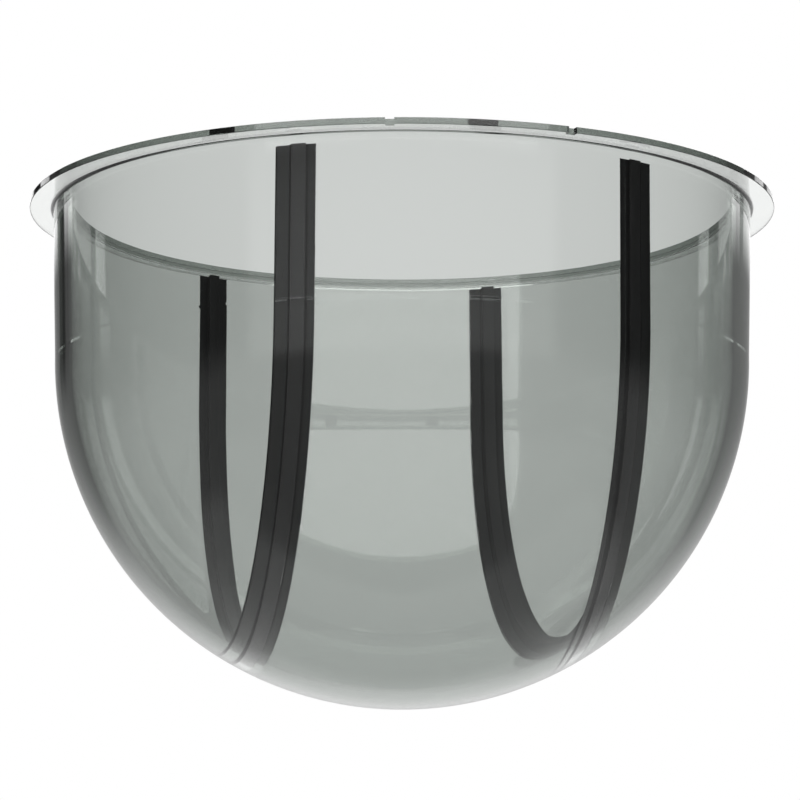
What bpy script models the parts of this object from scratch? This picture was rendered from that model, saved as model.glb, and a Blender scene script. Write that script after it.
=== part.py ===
"""Smoked see-through dome cover with two black U-shaped strips inlaid in its wall.

The dome hangs mouth up from its rim flange. Its skirt, opened a little by the mould's
draft, runs down from the flange and closes in a half sphere. Two strips, each a U in
an upright plane, press from inside into stepped grooves in the wall, which stop short
of the flange's top.

Frame: metres, +Z up, origin at the centre of the flange's top face, and -Y is the
front, where the flange has its two locating notches.
"""
import math

import bmesh
import bpy
from mathutils import Matrix

# Dome moulding
DOME_R = 0.085            # outer radius of the half sphere and the skirt's foot
WALL = 0.004              # wall of skirt and half sphere
SKIRT_H = 0.038           # flange's top face down to the half sphere's centre
DRAFT = 1.7               # degrees that the skirt opens towards the flange
FLANGE_W = 0.0057         # flange's reach beyond the skirt's top
FLANGE_T = 0.0015
FILLET_R = 0.0008         # under the flange, where it meets the skirt

# Locating notches in the flange's edge
NOTCH_W = 0.002
NOTCH_DEPTH = 0.0016
NOTCH_ANGLE = 13.0        # degrees to each side of the front

# Strips
STRIP_OFFSET = 0.03825    # strip's middle plane from the dome's middle plane
BAND_W = 0.0079           # thin band that lies flush with the inner wall
BAND_T = 0.001
RIB_W = 0.0029            # rib along the band's middle
RIB_KEY = 0.0015          # rib's reach beyond the band into the wall
RIB_RISE = 0.0028         # rib's rise from the band into the dome
STRIP_DROP = 0.0034       # strip's ends below the flange's top face
FIT_GAP = 0.0003          # strip to groove, all round

# Fineness
TURN_STEPS = 72           # round the dome, a multiple of four
ARC_STEPS = 16            # pole to skirt
FILLET_STEPS = 3
BOW_STEPS = 40            # round a strip's half circle
BAND_STEPS = 2            # across each part of a strip's section

INNER_R = DOME_R - WALL
SKIRT_SLOPE = math.tan(math.radians(DRAFT))
MOUTH_R = INNER_R + SKIRT_H * SKIRT_SLOPE
FLANGE_R = MOUTH_R + WALL + FLANGE_W
CUT_PAST = 0.003          # a cutter's reach past what it cuts

SMOKED = (0.28, 0.31, 0.29, 1.0)
BLACK = (0.022, 0.022, 0.023, 1.0)


def clear_scene():
    for old in list(bpy.data.objects):
        bpy.data.objects.remove(old, do_unlink=True)


def plastic(name, colour, roughness, see_through=0.0, ior=1.5):
    mat = bpy.data.materials.new(name)
    mat.use_nodes = True
    shader = mat.node_tree.nodes["Principled BSDF"]
    shader.inputs["Base Color"].default_value = colour
    shader.inputs["Roughness"].default_value = roughness
    shader.inputs["Metallic"].default_value = 0.0
    shader.inputs["Transmission Weight"].default_value = see_through
    shader.inputs["IOR"].default_value = ior
    return mat


def link_object(name, bm, material=None):
    bmesh.ops.recalc_face_normals(bm, faces=bm.faces)
    mesh = bpy.data.meshes.new(name)
    bm.to_mesh(mesh)
    bm.free()
    mesh.shade_smooth()
    mesh.set_sharp_from_angle(angle=math.radians(35))
    if material:
        mesh.materials.append(material)
    obj = bpy.data.objects.new(name, mesh)
    bpy.context.collection.objects.link(obj)
    return obj


def as_cutter(obj):
    obj.hide_render = True
    obj.display_type = "WIRE"
    return obj


def arc(centre, radius, start, end, steps):
    """Points (x, z) on an arc, angles in degrees from +x towards +z."""
    points = []
    for i in range(steps + 1):
        a = math.radians(start + (end - start) * i / steps)
        points.append((centre[0] + radius * math.cos(a), centre[1] + radius * math.sin(a)))
    return points


def turned(name, outline, material):
    """Closed body turned about Z from an outline that starts and ends on the axis."""
    bm = bmesh.new()
    verts = [bm.verts.new((max(x, 0.0), 0.0, z)) for x, z in outline]
    edges = [bm.edges.new(pair) for pair in zip(verts, verts[1:])]
    bmesh.ops.spin(bm, geom=verts + edges, cent=(0, 0, 0), axis=(0, 0, 1),
                   angle=math.tau, steps=TURN_STEPS, use_merge=True)
    bmesh.ops.remove_doubles(bm, verts=bm.verts, dist=1e-6)
    bmesh.ops.dissolve_degenerate(bm, edges=bm.edges, dist=1e-7)
    return link_object(name, bm, material)


def dome_outline():
    """Outer pole up the outside, over the flange, and down the inside to the pole."""
    outside = arc((0, -SKIRT_H), DOME_R, -90, 0, ARC_STEPS)
    fillet_z = -FLANGE_T - FILLET_R
    skirt_r = DOME_R + (fillet_z + SKIRT_H) * SKIRT_SLOPE
    fillet = arc((skirt_r + FILLET_R, fillet_z), FILLET_R, 180, 90, FILLET_STEPS)
    rim = [(FLANGE_R, -FLANGE_T), (FLANGE_R, 0), (MOUTH_R, 0)]
    inside = arc((0, -SKIRT_H), INNER_R, 0, -90, ARC_STEPS)
    return outside + fillet + rim + inside


def section(side, band_half, rib_half, rib_in_r, band_in_r, band_out_r, rib_out_r):
    """Strip section as (x, r): distance from the middle plane and from the bow's centre."""
    steps_x = [-band_half, -rib_half, rib_half, band_half]
    corners = [(steps_x[0], band_in_r), (steps_x[1], band_in_r),
               (steps_x[1], rib_in_r), (steps_x[2], rib_in_r),
               (steps_x[2], band_in_r), (steps_x[3], band_in_r),
               (steps_x[3], band_out_r), (steps_x[2], band_out_r),
               (steps_x[2], rib_out_r), (steps_x[1], rib_out_r),
               (steps_x[1], band_out_r), (steps_x[0], band_out_r)]
    points = []
    for here, after in zip(corners, corners[1:] + corners[:1]):
        pieces = BAND_STEPS if here[1] == after[1] else 1
        for i in range(pieces):
            x = here[0] + (after[0] - here[0]) * i / pieces
            r = here[1] + (after[1] - here[1]) * i / pieces
            points.append((side * STRIP_OFFSET + x, r))
    return points


def u_stations(top):
    """Stations along a U as (swing, lift): angle round the bow, height above its centre."""
    stations = [(0.0, top + SKIRT_H)]
    stations += [(math.pi * i / BOW_STEPS, 0.0) for i in range(BOW_STEPS + 1)]
    return stations + [(math.pi, top + SKIRT_H)]


def u_body(name, outline, top, material=None):
    """Sweep a section round a U. A point keeps its x and its place in the wall."""
    bm = bmesh.new()
    rings = []
    for swing, lift in u_stations(top):
        ring = []
        for x, r in outline:
            reach = math.sqrt((r + lift * SKIRT_SLOPE) ** 2 - x * x)
            y = -reach * math.cos(swing)
            z = -SKIRT_H - reach * math.sin(swing) + lift
            ring.append(bm.verts.new((x, y, z)))
        rings.append(ring)
    count = len(outline)
    for low, high in zip(rings, rings[1:]):
        for i in range(count):
            j = (i + 1) % count
            bm.faces.new((low[i], low[j], high[j], high[i]))
    bm.faces.new(rings[0])
    bm.faces.new(list(reversed(rings[-1])))
    return link_object(name, bm, material)


def strip(name, side, material):
    outline = section(side, BAND_W / 2, RIB_W / 2, INNER_R - RIB_RISE, INNER_R,
                      INNER_R + BAND_T, INNER_R + BAND_T + RIB_KEY)
    return u_body(name, outline, -STRIP_DROP, material)


def groove_cutter(name, side):
    """The strip's own section and ends grown by the gap, open to the inside."""
    open_r = INNER_R - CUT_PAST
    outline = section(side, BAND_W / 2 + FIT_GAP, RIB_W / 2 + FIT_GAP, open_r - CUT_PAST, open_r,
                      INNER_R + BAND_T + FIT_GAP, INNER_R + BAND_T + RIB_KEY + FIT_GAP)
    return as_cutter(u_body(name, outline, FIT_GAP - STRIP_DROP))


def notch_cutter(name, angle):
    """Box across the flange's edge, angle in degrees from the front."""
    length = NOTCH_DEPTH + CUT_PAST
    height = FLANGE_T + 2 * CUT_PAST
    bm = bmesh.new()
    bmesh.ops.create_cube(bm, size=1.0)
    bmesh.ops.scale(bm, verts=bm.verts, vec=(NOTCH_W, length, height))
    middle = FLANGE_R - NOTCH_DEPTH + length / 2
    bmesh.ops.translate(bm, verts=bm.verts, vec=(0, -middle, -FLANGE_T / 2))
    bmesh.ops.rotate(bm, verts=bm.verts, cent=(0, 0, 0),
                     matrix=Matrix.Rotation(math.radians(angle), 3, "Z"))
    return as_cutter(link_object(name, bm))


def cut(body, cutter):
    boolean = body.modifiers.new(cutter.name, "BOOLEAN")
    boolean.operation = "DIFFERENCE"
    boolean.solver = "EXACT"
    boolean.object = cutter


def dome():
    body = turned("dome_shell", dome_outline(), plastic("smoked_clear", SMOKED, 0.03, 1.0, 1.49))
    for word, side in (("left", -1), ("right", 1)):
        cut(body, groove_cutter(word + "_groove_cutter", side))
        cut(body, notch_cutter(word + "_notch_cutter", side * NOTCH_ANGLE))
    return body


def build():
    clear_scene()
    dome()
    strip("left_strip", -1, plastic("black_left", BLACK, 0.35))
    strip("right_strip", 1, plastic("black_right", BLACK, 0.35))


build()
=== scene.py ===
"""Looks of the smoked bubble dome: a clear moulded shell with two black strips inlaid."""
import math

import bmesh
import bpy
from mathutils import Matrix, Vector


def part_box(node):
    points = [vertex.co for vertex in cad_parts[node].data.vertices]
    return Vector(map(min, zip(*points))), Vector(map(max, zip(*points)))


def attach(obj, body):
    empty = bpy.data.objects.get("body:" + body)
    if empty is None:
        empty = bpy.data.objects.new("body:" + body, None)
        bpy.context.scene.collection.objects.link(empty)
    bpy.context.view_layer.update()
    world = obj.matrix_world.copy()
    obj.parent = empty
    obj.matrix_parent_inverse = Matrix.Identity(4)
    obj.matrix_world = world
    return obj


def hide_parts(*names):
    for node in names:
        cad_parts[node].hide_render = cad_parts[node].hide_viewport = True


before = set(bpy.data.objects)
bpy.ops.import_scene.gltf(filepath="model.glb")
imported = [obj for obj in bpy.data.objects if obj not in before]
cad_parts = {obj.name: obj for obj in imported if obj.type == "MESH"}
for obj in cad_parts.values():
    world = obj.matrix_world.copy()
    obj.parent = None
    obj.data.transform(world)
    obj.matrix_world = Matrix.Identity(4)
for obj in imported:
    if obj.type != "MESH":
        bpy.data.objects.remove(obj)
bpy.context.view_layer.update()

MM = 0.001

# ---- Sizes taken from the frame ----
shell_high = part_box("dome_shell")[1]
strip_low, strip_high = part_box("right_strip")
FLANGE_R = shell_high.x
TOP_Z = shell_high.z

# ---- Mouldings, as in the CAD model ----
DRAFT = 1.7                   # degrees that the skirt opens towards the flange
SKIRT_H = 38.0 * MM           # flange's top face down to the half sphere's centre
FLANGE_W = 5.7 * MM           # flange's reach beyond the skirt's top
FLANGE_T = 1.5 * MM
WALL = 4.0 * MM
FILLET_R = 0.8 * MM
NOTCH_W = 2.0 * MM
NOTCH_DEPTH = 1.6 * MM
NOTCH_ANGLE = 13.0            # degrees to each side of the front
BAND_T = 1.0 * MM
RIB_W = 2.9 * MM
RIB_KEY = 1.5 * MM
RIB_RISE = 2.8 * MM
GROOVE_GAP = 0.05 * MM        # a pressed fit, closer than the CAD model's

SKIRT_SLOPE = math.tan(math.radians(DRAFT))
MOUTH_R = FLANGE_R - FLANGE_W - WALL
INNER_R = MOUTH_R - SKIRT_H * SKIRT_SLOPE
DOME_R = INNER_R + WALL
BOW_Z = TOP_Z - SKIRT_H                   # centre of the half sphere
BAND_W = strip_high.x - strip_low.x
STRIP_OFFSET = (strip_high.x + strip_low.x) / 2
STRIP_TOP_Z = strip_high.z
FILLET_Z = TOP_Z - FLANGE_T - FILLET_R
FILLET_CENTRE = (DOME_R + (FILLET_Z - BOW_Z) * SKIRT_SLOPE + FILLET_R, FILLET_Z)
CUT_PAST = 3.0 * MM           # how far a cutter reaches past what it cuts

# ---- Edges and fineness ----
RIM_EDGE_R = 0.15 * MM        # broken edges of the flange and mouth
STRIP_EDGE_R = 0.18 * MM      # soft edges of the strips
TURN_STEPS = 288
ARC_STEPS = 96
FILLET_STEPS = 6
EDGE_STEPS = 3
BOW_STEPS = 200
SKIRT_STEPS = 6
STRIP_CREASE = 45             # degrees between faces from which a strip's edge stays sharp

# How closely a face must follow a round surface to take that surface's exact normals
WALL_COSINE = 0.985
EDGE_COSINE = 0.97
EDGE_SHARE = 0.05             # of the edge's radius
EDGE_SLACK = 0.002 * MM

# ---- Studio ----
VIEW_TURN = 11.28             # degrees that the camera stands to the left of the front
CAMERA_AT = (-0.1418, -0.7084, -0.1684)
CAMERA_TILT = 99.52
CAMERA_LENS = 134.0
CAMERA_SENSOR = 36.0
FLOOR_Z = -0.75
FLOOR_HALF = 4.0


def linear(hex_colour):
    """sRGB hex to a linear RGBA tuple."""
    channels = []
    for i in (1, 3, 5):
        c = int(hex_colour[i:i + 2], 16) / 255
        channels.append(c / 12.92 if c <= 0.04045 else ((c + 0.055) / 1.055) ** 2.4)
    return (*channels, 1.0)


def add(tree, kind, sockets=None, **settings):
    """Adds a node with its settings. sockets gives each input a value or another node's output."""
    made = tree.nodes.new(kind)
    for name, value in settings.items():
        setattr(made, name, value)
    for key, value in (sockets or {}).items():
        if isinstance(value, bpy.types.NodeSocket):
            tree.links.new(value, made.inputs[key])
        else:
            made.inputs[key].default_value = value
    return made


def new_material(name):
    material = bpy.data.materials.new(name)
    material.use_nodes = True
    material.node_tree.nodes.clear()
    return material, material.node_tree


# ---------------------------------------------------------------- shapes

def arc(centre, radius, start, end, steps):
    """Points (r, z) on an arc, angles in degrees from +r towards +z."""
    points = []
    for i in range(steps + 1):
        a = math.radians(start + (end - start) * i / steps)
        points.append((centre[0] + radius * math.cos(a), centre[1] + radius * math.sin(a)))
    return points


def run(start, end, steps):
    """Points between two points, without the two."""
    return [(start[0] + (end[0] - start[0]) * i / steps,
             start[1] + (end[1] - start[1]) * i / steps) for i in range(1, steps)]


def dome_outline():
    """Outer pole up the outside, over the flange, and down the inside to the pole."""
    outside = arc((0, BOW_Z), DOME_R, -90, 0, ARC_STEPS)
    fillet = arc(FILLET_CENTRE, FILLET_R, 180, 90, FILLET_STEPS)
    skirt = run(outside[-1], fillet[0], SKIRT_STEPS)
    edge = RIM_EDGE_R
    lower = arc((FLANGE_R - edge, TOP_Z - FLANGE_T + edge), edge, -90, 0, EDGE_STEPS)
    upper = arc((FLANGE_R - edge, TOP_Z - edge), edge, 0, 90, EDGE_STEPS)
    mouth = arc((MOUTH_R + edge, TOP_Z - edge), edge, 90, 180, EDGE_STEPS)
    inside = arc((0, BOW_Z), INNER_R, 0, -90, ARC_STEPS)
    inner_skirt = run(mouth[-1], inside[0], SKIRT_STEPS)
    return outside + skirt + fillet + lower + upper + mouth + inner_skirt + inside


def link_mesh(name, bm):
    mesh = bpy.data.meshes.new(name)
    bm.to_mesh(mesh)
    bm.free()
    obj = bpy.data.objects.new(name, mesh)
    bpy.context.scene.collection.objects.link(obj)
    return obj


def turned(name, outline):
    """Closed body turned about Z from an outline that starts and ends on the axis."""
    bm = bmesh.new()
    pole_low = bm.verts.new((0, 0, outline[0][1]))
    pole_high = bm.verts.new((0, 0, outline[-1][1]))
    rings = []
    for r, z in outline[1:-1]:
        ring = []
        for i in range(TURN_STEPS):
            a = math.tau * i / TURN_STEPS
            ring.append(bm.verts.new((r * math.cos(a), r * math.sin(a), z)))
        rings.append(ring)
    for i in range(TURN_STEPS):
        j = (i + 1) % TURN_STEPS
        bm.faces.new((pole_low, rings[0][j], rings[0][i]))
        bm.faces.new((pole_high, rings[-1][i], rings[-1][j]))
        for low, high in zip(rings, rings[1:]):
            bm.faces.new((low[i], low[j], high[j], high[i]))
    return link_mesh(name, bm)


def round_corners(corners, radius, steps):
    """Closed outline with each corner turned into a small arc."""
    points = []
    count = len(corners)
    for i, corner in enumerate(corners):
        here = Vector(corner)
        before = (Vector(corners[i - 1]) - here).normalized()
        after = (Vector(corners[(i + 1) % count]) - here).normalized()
        centre = here + (before + after) * radius
        start = here + before * radius
        end = here + after * radius
        for k in range(steps + 1):
            a = math.pi / 2 * k / steps
            points.append(centre + (start - centre) * math.cos(a) + (end - centre) * math.sin(a))
    return [(p.x, p.y) for p in points]


def section(side, band_half, rib_half, rib_in_r, band_in_r, band_out_r, rib_out_r):
    """Strip section as (x, r): distance from the middle plane and from the bow's centre."""
    corners = [(-band_half, band_in_r), (-rib_half, band_in_r), (-rib_half, rib_in_r),
               (rib_half, rib_in_r), (rib_half, band_in_r), (band_half, band_in_r),
               (band_half, band_out_r), (rib_half, band_out_r), (rib_half, rib_out_r),
               (-rib_half, rib_out_r), (-rib_half, band_out_r), (-band_half, band_out_r)]
    return [(side * STRIP_OFFSET + x, r) for x, r in corners]


def u_sweep(name, outline, top_z):
    """Sweep a section round a U. A point keeps its x and its place in the wall."""
    rise = top_z - BOW_Z
    stations = [(0.0, rise * i / SKIRT_STEPS) for i in range(SKIRT_STEPS, 0, -1)]
    stations += [(math.pi * i / BOW_STEPS, 0.0) for i in range(BOW_STEPS + 1)]
    stations += [(math.pi, rise * i / SKIRT_STEPS) for i in range(1, SKIRT_STEPS + 1)]
    bm = bmesh.new()
    rings = []
    for swing, lift in stations:
        ring = []
        for x, r in outline:
            reach = math.sqrt((r + lift * SKIRT_SLOPE) ** 2 - x * x)
            ring.append(bm.verts.new((x, -reach * math.cos(swing),
                                      BOW_Z - reach * math.sin(swing) + lift)))
        rings.append(ring)
    count = len(outline)
    for low, high in zip(rings, rings[1:]):
        for i in range(count):
            j = (i + 1) % count
            bm.faces.new((low[i], low[j], high[j], high[i]))
    bm.faces.new(rings[0])
    bm.faces.new(list(reversed(rings[-1])))
    bmesh.ops.recalc_face_normals(bm, faces=bm.faces)
    return link_mesh(name, bm)


def cut_all(body, cutters):
    """Cuts the body and leaves a plain mesh behind."""
    for cutter in cutters:
        boolean = body.modifiers.new(cutter.name, "BOOLEAN")
        boolean.operation = "DIFFERENCE"
        boolean.solver = "EXACT"
        boolean.object = cutter
    bpy.context.view_layer.update()
    evaluated = body.evaluated_get(bpy.context.evaluated_depsgraph_get())
    mesh = bpy.data.meshes.new_from_object(evaluated)
    body.modifiers.clear()
    body.data = mesh
    for cutter in cutters:
        bpy.data.objects.remove(cutter, do_unlink=True)


def radial(point, on_skirt):
    """Unit vector out of the drafted skirt, or out of the half sphere under it."""
    across = math.hypot(point.x, point.y)
    rise = -SKIRT_SLOPE * across if on_skirt else point.z - BOW_Z
    return Vector((point.x, point.y, rise)).normalized()


def ring_out(point, ring_r, ring_z):
    """Unit vector away from a circle round the axis, for fillets and rounded edges."""
    around = Vector((point.x, point.y, 0)).normalized() * ring_r
    return (point - around - Vector((0, 0, ring_z))).normalized()


def true_normals(mesh):
    """Gives the turned faces the exact normals of their sphere, cone or fillet."""
    edge = RIM_EDGE_R
    rounds = [(*FILLET_CENTRE, FILLET_R),
              (FLANGE_R - edge, TOP_Z - FLANGE_T + edge, edge),
              (FLANGE_R - edge, TOP_Z - edge, edge),
              (MOUTH_R + edge, TOP_Z - edge, edge)]
    normals = [Vector()] * len(mesh.loops)
    for face in mesh.polygons:
        spots = [mesh.vertices[v].co for v in face.vertices]
        middle = face.center
        rule = None
        on_skirt = middle.z > BOW_Z
        out = radial(middle, on_skirt)
        if abs(face.normal.dot(out)) > WALL_COSINE:
            sign = math.copysign(1, face.normal.dot(out))
            rule = [radial(p, on_skirt) * sign for p in spots]
        for ring_r, ring_z, size in rounds:
            gap = Vector((math.hypot(middle.x, middle.y) - ring_r, middle.z - ring_z)).length
            if abs(gap - size) < EDGE_SHARE * size + EDGE_SLACK:
                turned_out = ring_out(middle, ring_r, ring_z)
                if abs(face.normal.dot(turned_out)) > EDGE_COSINE:
                    sign = math.copysign(1, face.normal.dot(turned_out))
                    rule = [ring_out(p, ring_r, ring_z) * sign for p in spots]
        for k, loop in enumerate(face.loop_indices):
            normals[loop] = rule[k] if rule else face.normal
    mesh.shade_smooth()
    mesh.normals_split_custom_set([tuple(n) for n in normals])


def notch_cutter(name, angle):
    """Block that cuts one notch into the flange's rim, angle in degrees from the front."""
    length = NOTCH_DEPTH + CUT_PAST
    bm = bmesh.new()
    bmesh.ops.create_cube(bm, size=1.0)
    bmesh.ops.scale(bm, verts=bm.verts, vec=(NOTCH_W, length, FLANGE_T + 2 * CUT_PAST))
    middle = FLANGE_R - NOTCH_DEPTH + length / 2
    bmesh.ops.translate(bm, verts=bm.verts, vec=(0, -middle, TOP_Z - FLANGE_T / 2))
    bmesh.ops.rotate(bm, verts=bm.verts, cent=(0, 0, 0),
                     matrix=Matrix.Rotation(math.radians(angle), 3, "Z"))
    return link_mesh(name, bm)


def smoked_shell():
    """The dome with the grooves for its two strips and the two notches in its flange."""
    shell = turned("smoked_dome_moulding", dome_outline())
    band_half = BAND_W / 2 + GROOVE_GAP
    rib_half = RIB_W / 2 + GROOVE_GAP
    open_r = INNER_R - CUT_PAST
    cutters = []
    for side in (-1, 1):
        outline = section(side, band_half, rib_half, open_r - CUT_PAST, open_r,
                          INNER_R + BAND_T + GROOVE_GAP, INNER_R + BAND_T + RIB_KEY + GROOVE_GAP)
        cutters.append(u_sweep("groove_cutter", outline, STRIP_TOP_Z + GROOVE_GAP))
        cutters.append(notch_cutter("notch_cutter", side * NOTCH_ANGLE))
    cut_all(shell, cutters)
    true_normals(shell.data)
    return shell


def inlaid_strip(name, side):
    """One strip: a band flush in the wall, with a key behind it and a rib in front."""
    corners = section(side, BAND_W / 2, RIB_W / 2, INNER_R - RIB_RISE, INNER_R,
                      INNER_R + BAND_T, INNER_R + BAND_T + RIB_KEY)
    strip = u_sweep(name, round_corners(corners, STRIP_EDGE_R, EDGE_STEPS), STRIP_TOP_Z)
    strip.data.shade_smooth()
    strip.data.set_sharp_from_angle(angle=math.radians(STRIP_CREASE))
    return strip


# ---------------------------------------------------------------- materials

RIPPLE_SIZE = 16 * MM         # flow ripple of the polished moulding
RIPPLE_DEPTH = 0.04 * MM
HAIRLINE_SIZE = 3 * MM        # length of the wiping hairlines round the dome
HAIRLINE_SQUASH = 14          # and how many times narrower they are
SMOKE_DENSITY = 128.0         # per metre
SPARK_GRAIN = 0.35 * MM       # spark-eroded mould
SPARK_DEPTH = 0.02 * MM
SATIN_CLOUD = 9 * MM
PAPER_CLOUD = 12.0            # clouds per metre of floor


def smoked_acrylic():
    """Smoked acrylic, injection moulded and polished: clear, hard gloss, grey-green in its depth.

    Its flow in the mould leaves a ripple that bends the mirrored light a little. Wiping leaves
    hairlines round the dome, drawn wider than real ones so that they show.
    """
    material, tree = new_material("smoked_acrylic_polished")
    place = add(tree, "ShaderNodeTexCoord").outputs["Object"]
    ripple = add(tree, "ShaderNodeTexNoise", {"Vector": place, "Scale": 1 / RIPPLE_SIZE,
                                              "Detail": 1.0})
    bump = add(tree, "ShaderNodeBump", {"Height": ripple.outputs["Fac"], "Strength": 0.25,
                                        "Distance": RIPPLE_DEPTH})
    along = add(tree, "ShaderNodeMapping", {"Vector": place, "Scale": (1, 1, HAIRLINE_SQUASH)})
    hairline = add(tree, "ShaderNodeTexNoise", {"Vector": along.outputs[0],
                                                "Scale": 1 / HAIRLINE_SIZE, "Detail": 3.0})
    rough = add(tree, "ShaderNodeMapRange", {"Value": hairline.outputs["Fac"], "From Min": 0.64,
                                             "From Max": 0.74, "To Min": 0.0, "To Max": 0.05})
    shader = add(tree, "ShaderNodeBsdfPrincipled", {
        "Base Color": linear("#FFFFFF"), "Roughness": rough.outputs[0], "Normal": bump.outputs[0],
        "IOR": 1.49, "Transmission Weight": 1.0})
    smoke = add(tree, "ShaderNodeVolumeAbsorption", {"Color": linear("#385D44"),
                                                     "Density": SMOKE_DENSITY})
    add(tree, "ShaderNodeOutputMaterial", {"Surface": shader.outputs[0],
                                           "Volume": smoke.outputs[0]})
    return material


def black_moulding():
    """Black moulded plastic, satin from a fine spark-eroded mould."""
    material, tree = new_material("black_moulded_satin")
    place = add(tree, "ShaderNodeTexCoord").outputs["Object"]
    grain = add(tree, "ShaderNodeTexNoise", {"Vector": place, "Scale": 1 / SPARK_GRAIN,
                                             "Detail": 3.0})
    cloud = add(tree, "ShaderNodeTexNoise", {"Vector": place, "Scale": 1 / SATIN_CLOUD,
                                             "Detail": 2.0})
    rough = add(tree, "ShaderNodeMapRange", {"Value": cloud.outputs["Fac"], "To Min": 0.5,
                                             "To Max": 0.62})
    bump = add(tree, "ShaderNodeBump", {"Height": grain.outputs["Fac"], "Strength": 0.15,
                                        "Distance": SPARK_DEPTH})
    shader = add(tree, "ShaderNodeBsdfPrincipled", {
        "Base Color": linear("#0C0D0D"), "Roughness": rough.outputs[0], "Normal": bump.outputs[0],
        "IOR": 1.5, "Specular IOR Level": 0.2})
    add(tree, "ShaderNodeOutputMaterial", {"Surface": shader.outputs[0]})
    return material


def pale_floor():
    """Pale paper, matt, with faint clouds in its tone."""
    material, tree = new_material("pale_paper_floor")
    place = add(tree, "ShaderNodeTexCoord").outputs["Object"]
    cloud = add(tree, "ShaderNodeTexNoise", {"Vector": place, "Scale": PAPER_CLOUD, "Detail": 4.0})
    tone = add(tree, "ShaderNodeMapRange", {"Value": cloud.outputs["Fac"], "To Min": 0.80,
                                            "To Max": 0.83})
    shader = add(tree, "ShaderNodeBsdfDiffuse", {"Color": tone.outputs[0]})
    add(tree, "ShaderNodeOutputMaterial", {"Surface": shader.outputs[0]})
    return material


# ---------------------------------------------------------------- studio

# Light and dark fields mirrored in the dome: name, strength, and for each angle that bounds it the
# low end, high end and soft edge in degrees. "turn" is from straight behind the dome, + to the
# right as seen from the camera, and "height" is above the horizon. The softbox leans over the
# dome: "leaning turn" follows its side edges, and "reach" is its top edge's height seen from the
# side. Each field replaces what the earlier ones gave there.
SURROUND = 0.1                # strength where there is no field
SOFTBOX_LEAN = 0.28           # how far its sides lean over the dome for each unit of height
FIELDS = [
    ("upper room", 0.6, {"height": (19, 100, 12)}),
    ("side floor", 0.45, {"height": (-100, -5, 16)}),
    ("back wall", 0.2, {"turn": (-50, 50, 20), "height": (-10, 40, 12)}),
    ("back wall's right", 0.28, {"turn": (10, 50, 16), "height": (-10, 14, 6)}),
    ("back wall's foot", 0.45, {"turn": (-16, 16, 14), "height": (-4, 12, 8)}),
    ("floor behind", 1.2, {"turn": (-24, 24, 40), "height": (-100, -2, 24)}),
    ("floor below", 0.75, {"turn": (-100, 100, 20), "height": (-100, -36, 8)}),
    ("left flag", 0.04, {"turn": (-35, -26, 4), "height": (7, 21, 6)}),
    ("white backdrop", 1.55, {"turn": (-23.5, 30, 2), "height": (12, 72, 1.5)}),
    ("left side light", 2.4, {"turn": (-44, -35, 2), "height": (12, 50, 2)}),
    ("right side light", 2.4, {"turn": (35, 44, 2), "height": (12, 50, 2)}),
    ("front wall", 0.8, {"turn": (130, 230, 6), "height": (-6, 12, 6)}),
    ("front floor", 0.4, {"turn": (120, 240, 10), "height": (-100, -7, 10)}),
    ("softbox", 3.9, {"leaning turn": (138.3, 221.7, 1), "height": (11.5, 90, 1),
                      "reach": (0, 66.5, 1)}),
]
MIRRORED_ONCE = 0.5           # light that has met a mirroring face has a depth of 1 or more


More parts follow.
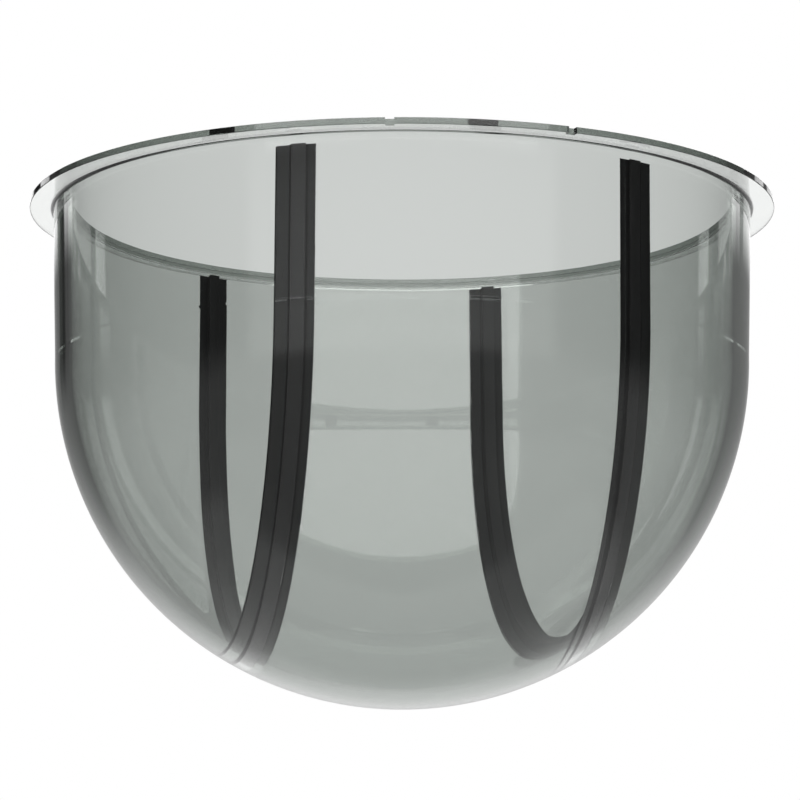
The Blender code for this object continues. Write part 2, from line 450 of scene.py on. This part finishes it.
def studio_world():
    """Plain white seen straight through the dome, and the fields only where it mirrors."""
    world = bpy.data.worlds.new("studio")
    bpy.context.scene.world = world
    world.use_nodes = True
    tree = world.node_tree
    tree.nodes.clear()
    way = add(tree, "ShaderNodeTexCoord").outputs["Generated"]
    turned_way = add(tree, "ShaderNodeVectorRotate", {
        "Vector": way, "Angle": math.radians(VIEW_TURN)}, rotation_type="Z_AXIS").outputs[0]
    side, depth, up = add(tree, "ShaderNodeSeparateXYZ", {0: turned_way}).outputs
    leaning_depth = add(tree, "ShaderNodeMath", {0: up, 1: -SOFTBOX_LEAN, 2: depth},
                        operation="MULTIPLY_ADD").outputs[0]
    front = add(tree, "ShaderNodeMath", {0: depth, 1: -1.0}, operation="MULTIPLY").outputs[0]
    angles = {
        "turn": add(tree, "ShaderNodeMath", {0: side, 1: depth}, operation="ARCTAN2"),
        "leaning turn": add(tree, "ShaderNodeMath", {0: side, 1: leaning_depth},
                            operation="ARCTAN2"),
        "height": add(tree, "ShaderNodeMath", {0: up}, operation="ARCSINE"),
        "reach": add(tree, "ShaderNodeMath", {0: up, 1: front}, operation="ARCTAN2")}
    light = SURROUND
    for _, strength, ranges in FIELDS:
        inside = 1.0
        for angle, (low, high, soft) in ranges.items():
            middle = math.radians((low + high) / 2)
            off = add(tree, "ShaderNodeMath", {0: angles[angle].outputs[0], 1: middle},
                      operation="SUBTRACT")
            if "turn" in angle:
                off = add(tree, "ShaderNodeMath", {0: off.outputs[0], 1: math.pi, 2: -math.pi},
                          operation="WRAP")
            off = add(tree, "ShaderNodeMath", {0: off.outputs[0]}, operation="ABSOLUTE")
            half = (high - low) / 2
            fall = add(tree, "ShaderNodeMapRange", {
                "Value": off.outputs[0], "From Min": math.radians(half + soft / 2),
                "From Max": math.radians(half - soft / 2)}, interpolation_type="SMOOTHSTEP")
            inside = add(tree, "ShaderNodeMath", {0: inside, 1: fall.outputs[0]},
                         operation="MULTIPLY").outputs[0]
        light = add(tree, "ShaderNodeMix", {0: inside, 2: light, 3: strength}).outputs[0]
    field = add(tree, "ShaderNodeBackground", {"Color": light, "Strength": 1.0})
    sheet = add(tree, "ShaderNodeBackground", {"Color": linear("#FFFFFF"), "Strength": 1.0})
    mirrors_met = add(tree, "ShaderNodeLightPath").outputs["Glossy Depth"]
    mirrored = add(tree, "ShaderNodeMath", {0: mirrors_met, 1: MIRRORED_ONCE},
                   operation="GREATER_THAN")
    both = add(tree, "ShaderNodeMixShader", {0: mirrored.outputs[0], 1: sheet.outputs[0],
                                             2: field.outputs[0]})
    add(tree, "ShaderNodeOutputWorld", {"Surface": both.outputs[0]})


def studio_floor():
    """Paper far below the dome. The fields stand in for it in the dome's wall."""
    bm = bmesh.new()
    bmesh.ops.create_grid(bm, x_segments=1, y_segments=1, size=FLOOR_HALF)
    bmesh.ops.translate(bm, verts=bm.verts, vec=(0, 0, FLOOR_Z))
    floor = link_mesh("floor", bm)
    floor.data.materials.append(pale_floor())
    floor.visible_glossy = False
    floor.visible_transmission = False


def camera():
    data = bpy.data.cameras.new("camera")
    data.lens = CAMERA_LENS
    data.sensor_width = CAMERA_SENSOR
    obj = bpy.data.objects.new("camera", data)
    obj.location = CAMERA_AT
    obj.rotation_euler = (math.radians(CAMERA_TILT), 0, math.radians(-VIEW_TURN))
    bpy.context.scene.collection.objects.link(obj)
    bpy.context.scene.camera = obj


camera()
studio_world()
studio_floor()
bpy.context.scene.view_settings.view_transform = "Standard"

shell = smoked_shell()
shell.data.materials.append(smoked_acrylic())
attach(shell, "root")
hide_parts("dome_shell")

black = black_moulding()
for word, side in (("left", -1), ("right", 1)):
    strip = inlaid_strip(word + "_strip_moulding", side)
    strip.data.materials.append(black)
    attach(strip, "root")
    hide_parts(word + "_strip")
